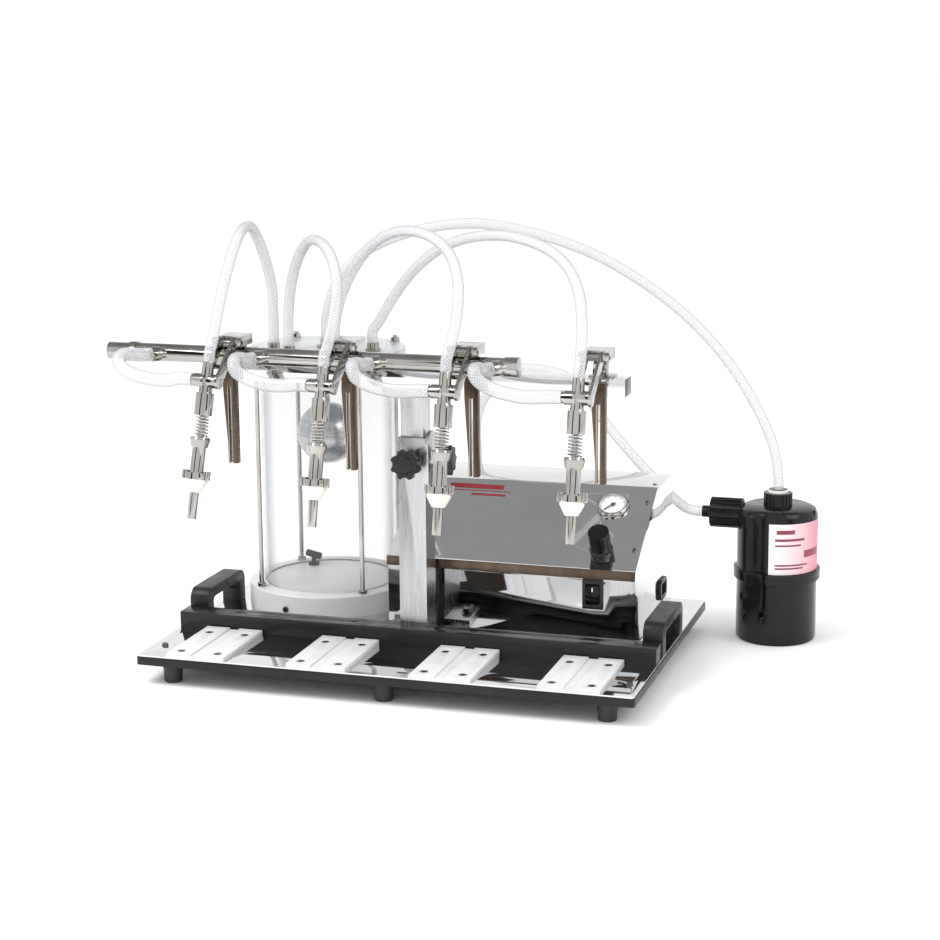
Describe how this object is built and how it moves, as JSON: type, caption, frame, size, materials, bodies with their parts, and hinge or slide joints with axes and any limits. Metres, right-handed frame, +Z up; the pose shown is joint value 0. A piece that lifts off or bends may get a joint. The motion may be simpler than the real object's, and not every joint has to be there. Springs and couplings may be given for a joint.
{
  "type": "vacuum bottle filler",
  "caption": "Tabletop vacuum bottle filler with tilting spring-loaded spouts, a clear overflow vessel, a stainless power box with a gauge, braided clear hoses and a black side filter.",
  "frame": {"origin": "centre of the object's box without its hoses, on the surface that it stands on", "axes": "+X to the operator's right along the manifold, +Y to the back, +Z up"},
  "size_m": [0.816, 0.451, 0.5304],
  "materials": {
    "mirror_steel": "polished",
    "satin_steel": "satin",
    "chrome": "polished",
    "dark_steel": "satin",
    "spring_steel": "polished",
    "black_slab": "satin",
    "black_plastic": "matte",
    "gloss_black": "gloss",
    "white_plastic": "satin",
    "clear_acrylic": "clear gloss",
    "lid_acrylic": "frosted",
    "clear_pvc": "clear gloss",
    "foot_rubber": "matte",
    "white_rubber": "matte",
    "filter_paper": "matte",
    "pump_body": "satin",
    "needle_black": "matte"
  },
  "bodies": {
    "root": {"base_slab": "black_slab", "base_sheet": "mirror_steel", "rubber_feet": "foot_rubber", "bottle_rests": "white_plastic", "stop_bar": "gloss_black", "carry_handles": "black_plastic", "fasteners": "dark_steel", "column_post": "satin_steel", "housing_cover": "mirror_steel", "housing_base": "satin_steel", "vacuum_pump": "pump_body", "gauge_case": "chrome", "power_fittings": "black_plastic", "vessel_base": "white_plastic", "vessel_cylinder": "clear_acrylic", "vessel_lid": "lid_acrylic", "tie_rods": "chrome", "hose_fittings": "dark_steel", "drain_plug": "black_plastic", "filter_bowl": "gloss_black", "filter_cover": "gloss_black", "filter_cartridge": "filter_paper", "vacuum_hose": "clear_pvc", "pump_hose": "clear_pvc", "return_hose_1": "clear_pvc", "return_hose_2": "clear_pvc", "return_hose_3": "clear_pvc", "return_hose_4": "clear_pvc"},
    "carriage": {"lift_mast": "satin_steel", "support_rail": "mirror_steel", "manifold": "chrome", "station_brackets": "dark_steel", "neck_forks": "satin_steel", "supply_hose_1": "clear_pvc", "supply_hose_2": "clear_pvc", "supply_hose_3": "clear_pvc", "supply_hose_4": "clear_pvc"},
    "front_knob": {"knob_front": "black_plastic"},
    "side_knob": {"knob_side": "black_plastic"},
    "needle": {"gauge_needle": "needle_black"},
    "regulator": {"regulator_knob": "gloss_black"},
    "rocker": {"switch_rocker": "gloss_black"},
    "float": {"float_ball": "satin_steel"},
    "latch": {"filter_latch": "black_plastic"},
    "spout_1": {"nozzle_body_1": "chrome", "spring_1": "spring_steel"},
    "sleeve_1": {"sleeve_1": "chrome", "stopper_1": "white_rubber"},
    "spout_2": {"nozzle_body_2": "chrome", "spring_2": "spring_steel"},
    "sleeve_2": {"sleeve_2": "chrome", "stopper_2": "white_rubber"},
    "spout_3": {"nozzle_body_3": "chrome", "spring_3": "spring_steel"},
    "sleeve_3": {"sleeve_3": "chrome", "stopper_3": "white_rubber"},
    "spout_4": {"nozzle_body_4": "chrome", "spring_4": "spring_steel"},
    "sleeve_4": {"sleeve_4": "chrome", "stopper_4": "white_rubber"}
  },
  "joints": [
    {"name": "mast_lift", "type": "slide", "parent": "root", "child": "carriage", "axis": [0, 0, 1], "range_m": [-0.03, 0.1], "deforming": ["return_hose_1", "return_hose_2", "return_hose_3", "return_hose_4"]},
    {"name": "spout_swing_1", "type": "hinge", "parent": "carriage", "child": "spout_1", "pos_m": [-0.248, -0.1375, 0.3975], "axis": [1, 0, 0], "range_deg": [-25, 12.3], "deforming": ["return_hose_1", "supply_hose_1"]},
    {"name": "sleeve_slide_1", "type": "slide", "parent": "spout_1", "child": "sleeve_1", "axis": [0.0576, 0.2127, 0.9754], "range_m": [0, 0.012], "stiffness_N_per_m": 300, "springref_m": -0.01, "deforming": ["spring_1"]},
    {"name": "spout_swing_2", "type": "hinge", "parent": "carriage", "child": "spout_2", "pos_m": [-0.106, -0.1375, 0.3975], "axis": [1, 0, 0], "range_deg": [-25, 12.3], "deforming": ["return_hose_2", "supply_hose_2"]},
    {"name": "sleeve_slide_2", "type": "slide", "parent": "spout_2", "child": "sleeve_2", "axis": [0.0192, 0.213, 0.9769], "range_m": [0, 0.012], "stiffness_N_per_m": 300, "springref_m": -0.01, "deforming": ["spring_2"]},
    {"name": "spout_swing_3", "type": "hinge", "parent": "carriage", "child": "spout_3", "pos_m": [0.04, -0.1375, 0.3975], "axis": [1, 0, 0], "range_deg": [-25, 12.3], "deforming": ["return_hose_3", "supply_hose_3"]},
    {"name": "sleeve_slide_3", "type": "slide", "parent": "spout_3", "child": "sleeve_3", "axis": [0, 0.213, 0.977], "range_m": [0, 0.012], "stiffness_N_per_m": 300, "springref_m": -0.01, "deforming": ["spring_3"]},
    {"name": "spout_swing_4", "type": "hinge", "parent": "carriage", "child": "spout_4", "pos_m": [0.193, -0.1375, 0.3975], "axis": [1, 0, 0], "range_deg": [-25, 12.3], "deforming": ["return_hose_4", "supply_hose_4"]},
    {"name": "sleeve_slide_4", "type": "slide", "parent": "spout_4", "child": "sleeve_4", "axis": [0, 0.213, 0.977], "range_m": [0, 0.012], "stiffness_N_per_m": 300, "springref_m": -0.01, "deforming": ["spring_4"]},
    {"name": "front_knob_turn", "type": "hinge", "parent": "root", "child": "front_knob", "pos_m": [-0.044, -0.0955, 0.254], "axis": [0, -1, 0], "continuous": true},
    {"name": "side_knob_turn", "type": "hinge", "parent": "root", "child": "side_knob", "pos_m": [-0.004, -0.0585, 0.254], "axis": [1, 0, 0], "continuous": true},
    {"name": "gauge_needle_turn", "type": "hinge", "parent": "root", "child": "needle", "pos_m": [0.169, 0.05924, 0.18401], "axis": [0, -0.5313, 0.8472], "range_deg": [-270, 0], "stiffness_Nm_per_rad": 0.0005},
    {"name": "regulator_turn", "type": "hinge", "parent": "root", "child": "regulator", "pos_m": [0.173, -0.01352, 0.14192], "axis": [0, -0.5313, 0.8472], "range_deg": [-180, 180]},
    {"name": "switch_rock", "type": "hinge", "parent": "root", "child": "rocker", "pos_m": [0.166, -0.0235, 0.094], "axis": [1, 0, 0], "range_deg": [0, 14]},
    {"name": "float_rise", "type": "slide", "parent": "root", "child": "float", "axis": [0, 0, 1], "range_m": [0, 0.016]},
    {"name": "latch_open", "type": "hinge", "parent": "root", "child": "latch", "pos_m": [0.33429, 0.12015, 0.034], "axis": [0.9336, -0.3584, 0], "range_deg": [0, 100]}
  ]
}
